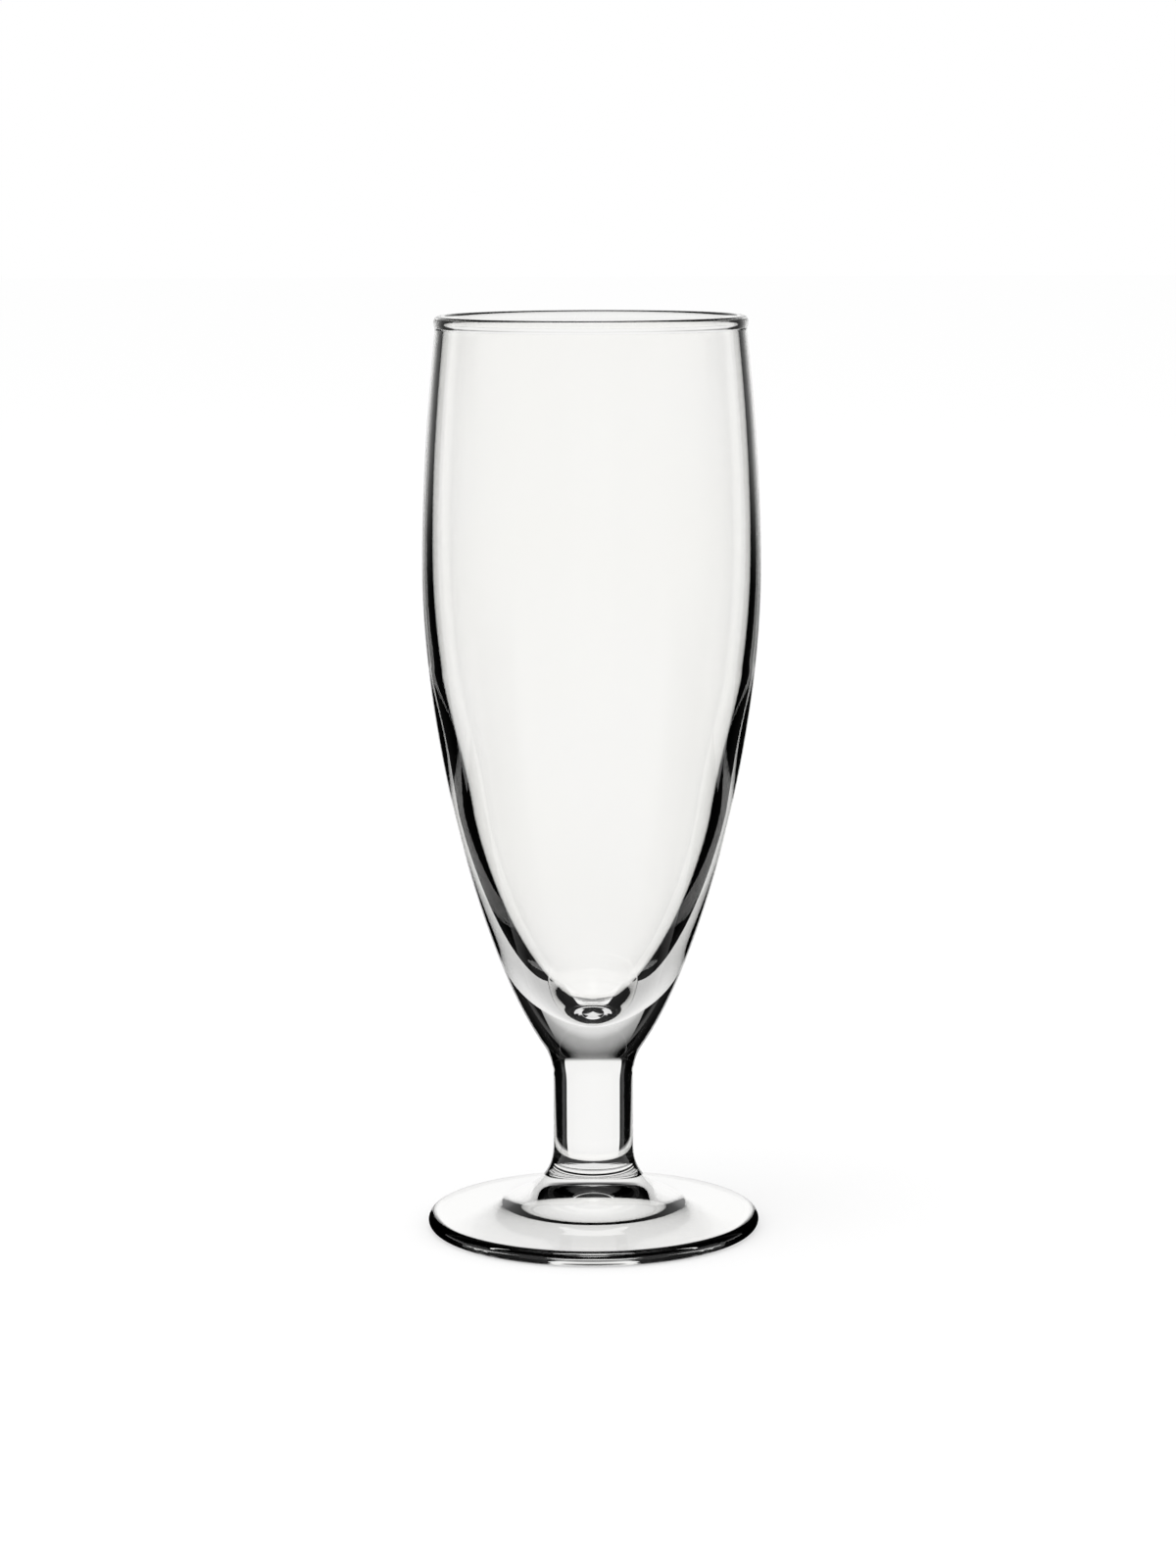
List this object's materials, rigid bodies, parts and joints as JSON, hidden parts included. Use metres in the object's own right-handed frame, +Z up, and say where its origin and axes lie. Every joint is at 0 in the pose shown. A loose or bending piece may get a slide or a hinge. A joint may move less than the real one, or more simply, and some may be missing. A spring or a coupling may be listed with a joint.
{
  "type": "sparkling wine glass",
  "caption": "Footed tulip flute in clear glass: a tall bowl with a rolled rim and a heavy lower wall, on a short thick stem and a round foot with a hollow underside",
  "frame": {"origin": "centre of the standing ring, on the plane that the glass stands on", "axes": "+Z up along the axis of revolution, from the foot to the rim; X and Y are equivalent"},
  "size_m": [0.0568, 0.0568, 0.155],
  "materials": {
    "clear_glass": "fire-polished, clear, with a faint grey-green cast in thick places"
  },
  "bodies": {
    "root": {"bowl": "clear_glass", "stem": "clear_glass", "foot": "clear_glass"}
  },
  "joints": []
}
